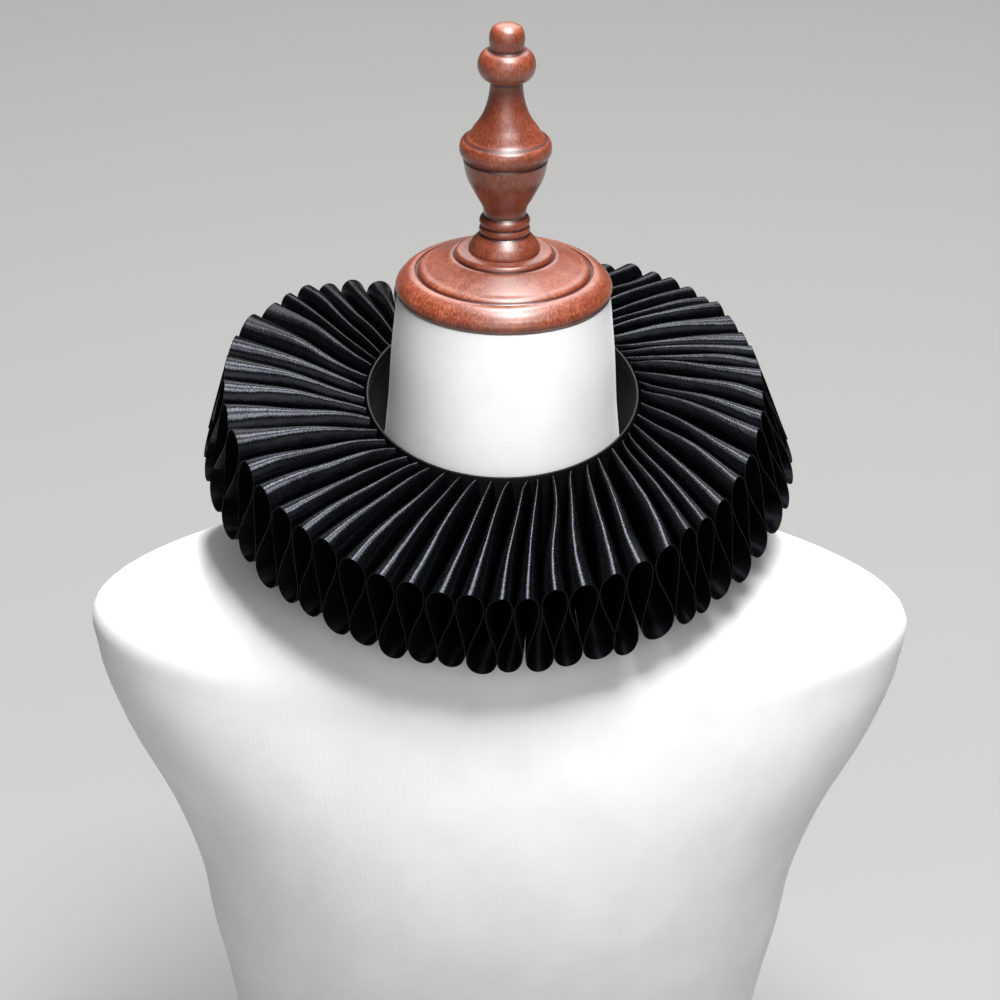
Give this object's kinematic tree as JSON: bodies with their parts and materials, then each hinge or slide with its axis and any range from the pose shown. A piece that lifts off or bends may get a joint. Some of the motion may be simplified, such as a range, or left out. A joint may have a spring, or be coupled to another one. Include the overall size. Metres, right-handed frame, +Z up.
{
  "type": "ruff collar on a dress form",
  "caption": "Pleated black satin ruff collar of rounded figure-eight folds, worn low on a white limbless dress form with a turned wood neck cap and finial.",
  "frame": {"origin": "centre of the dress form's flat underside", "axes": "+Z up, -Y towards the front of the collar and the form's chest, +X towards the viewer's right"},
  "size_m": [0.3996, 0.2668, 0.6496],
  "materials": {
    "satin": "black satin, soft sheen along the folds",
    "band_cloth": "black cloth, smooth and nearly matte",
    "fastening_tape": "black hook and loop tape, matte",
    "form_cover": "white fine knit cover, smooth and matte",
    "turned_wood": "red-brown stain under satin varnish"
  },
  "bodies": {
    "root": {"ruff_strip": "satin", "neckband": "band_cloth", "fastening_hook_tape": "fastening_tape", "fastening_loop_tape": "fastening_tape", "dress_form_body": "form_cover", "form_neck_cap": "turned_wood", "form_finial": "turned_wood"}
  },
  "joints": []
}
